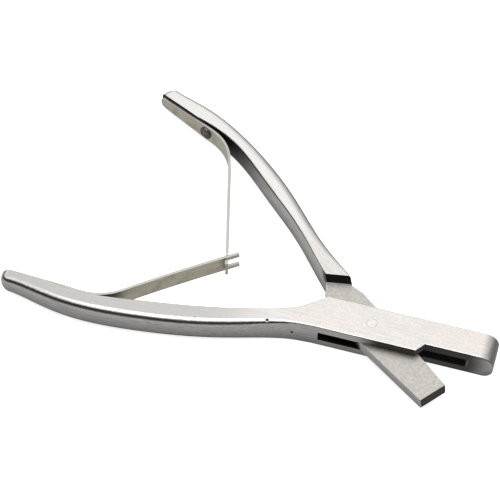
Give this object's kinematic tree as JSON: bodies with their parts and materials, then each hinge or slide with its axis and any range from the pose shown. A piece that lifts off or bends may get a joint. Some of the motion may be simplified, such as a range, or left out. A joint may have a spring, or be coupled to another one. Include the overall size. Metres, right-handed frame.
{
  "type": "grozing pliers",
  "caption": "Box-joint hand pliers with a flat blade that closes into a slotted, notched jaw, bowed handles, and forked and tongued leaf springs.",
  "frame": {"origin": "pivot axis, at the bottom face that the tool rests on", "axes": "+X from the pivot to the nose of the slotted lever, +Y to the side where the blade lever's handle stands open, +Z along the pivot axis"},
  "size_m": [0.1714, 0.1111, 0.01],
  "materials": {
    "forged_steel": "ground and satin polished stainless steel",
    "spring_steel": "satin rolled stainless spring strip",
    "rivet_steel": "dull grey turned steel"
  },
  "bodies": {
    "slotted_lever": {"slotted_lever": "forged_steel", "pivot_pin": "forged_steel", "fork_spring": "spring_steel", "fork_spring_rivet": "rivet_steel"},
    "blade_lever": {"blade_lever": "forged_steel", "tongue_spring": "spring_steel", "tongue_spring_rivet": "rivet_steel"}
  },
  "joints": [
    {"name": "pivot", "type": "hinge", "parent": "slotted_lever", "child": "blade_lever", "pos_m": [0, 0, 0.005], "axis": [0, 0, 1], "range_deg": [0, 35], "stiffness_Nm_per_rad": 2.5, "springref_deg": -2.86, "deforming": ["fork_spring", "tongue_spring"]}
  ]
}
